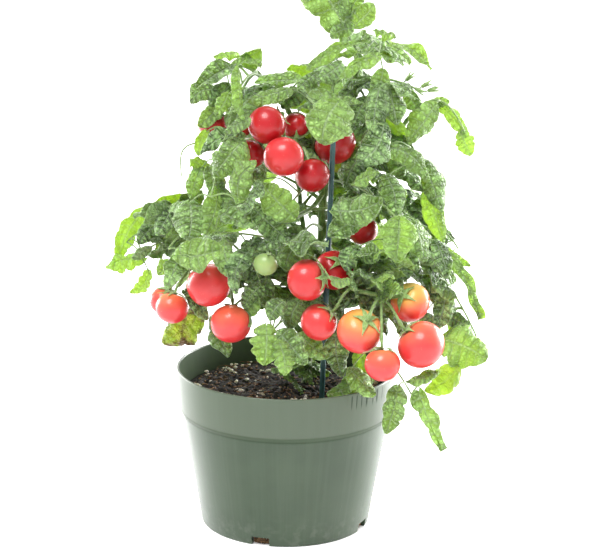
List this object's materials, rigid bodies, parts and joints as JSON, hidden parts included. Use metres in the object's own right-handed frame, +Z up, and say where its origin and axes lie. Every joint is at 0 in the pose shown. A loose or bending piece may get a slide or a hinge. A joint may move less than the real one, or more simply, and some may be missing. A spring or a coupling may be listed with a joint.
{
  "type": "tomato plant in a pot",
  "caption": "Bushy patio tomato plant with ripening round fruit, staked in a round green nursery pot.",
  "frame": {"origin": "centre of the pot's underside, on the surface the pot stands on", "axes": "+Z up along the pot's axis; -Y towards the side with most of the fruit"},
  "size_m": [0.2818, 0.2379, 0.4144],
  "materials": {
    "pot_plastic": "satin moulded plastic",
    "potting_mix": "damp peat and bark with white perlite",
    "stake_plastic": "satin coated stake",
    "stem": "hairy green stem",
    "stalk": "hairy green stalk and sepals",
    "tomato_ripe": "smooth waxy skin, red",
    "tomato_turning": "smooth waxy skin, orange",
    "tomato_unripe": "smooth waxy skin, pale green",
    "leaf_green": "quilted hairy leaf, green",
    "leaf_yellow": "quilted leaf, yellowing"
  },
  "bodies": {
    "root": {"pot": "pot_plastic", "potting_mix": "potting_mix", "support_stake": "stake_plastic", "main_stem": "stem", "truss_upper": "stalk", "truss_upper_left": "stalk", "truss_middle": "stalk", "truss_right": "stalk", "truss_left": "stalk", "tomato_01": "tomato_ripe", "tomato_02": "tomato_ripe", "tomato_03": "tomato_ripe", "tomato_04": "tomato_ripe", "tomato_05": "tomato_ripe", "tomato_06": "tomato_ripe", "tomato_07": "tomato_ripe", "tomato_08": "tomato_ripe", "tomato_09": "tomato_ripe", "tomato_10": "tomato_unripe", "tomato_11": "tomato_ripe", "tomato_12": "tomato_ripe", "tomato_13": "tomato_ripe", "tomato_14": "tomato_turning", "tomato_15": "tomato_turning", "tomato_16": "tomato_ripe", "tomato_17": "tomato_ripe", "tomato_18": "tomato_ripe", "tomato_19": "tomato_ripe", "tomato_20": "tomato_ripe", "tomato_21": "tomato_ripe", "leaf_top": "leaf_green", "leaf_top_right": "leaf_green", "leaf_right_high": "leaf_green", "leaf_right_droop": "leaf_green", "leaf_right_front": "leaf_green", "leaf_heart": "leaf_green", "leaf_pale": "leaf_green", "leaf_upper_left": "leaf_green", "leaf_hanging": "leaf_green", "leaf_left_dark": "leaf_green", "leaf_left_high": "leaf_green", "leaf_front_left": "leaf_green", "leaf_front_middle": "leaf_green", "leaf_front_right": "leaf_green", "leaf_right_dark": "leaf_green", "leaf_right_face": "leaf_green", "leaf_far_right": "leaf_green", "leaf_low_right": "leaf_green", "leaf_over_rim": "leaf_green", "leaf_yellow": "leaf_yellow", "leaf_far_left": "leaf_green", "leaf_left_pale": "leaf_green", "leaf_left_middle": "leaf_green", "leaf_low_left": "leaf_green", "leaf_centre_dark": "leaf_green", "leaf_low_front": "leaf_green", "leaf_back_top": "leaf_green", "leaf_back_high": "leaf_green", "leaf_back_right": "leaf_green", "leaf_back_left": "leaf_green"}
  },
  "joints": []
}
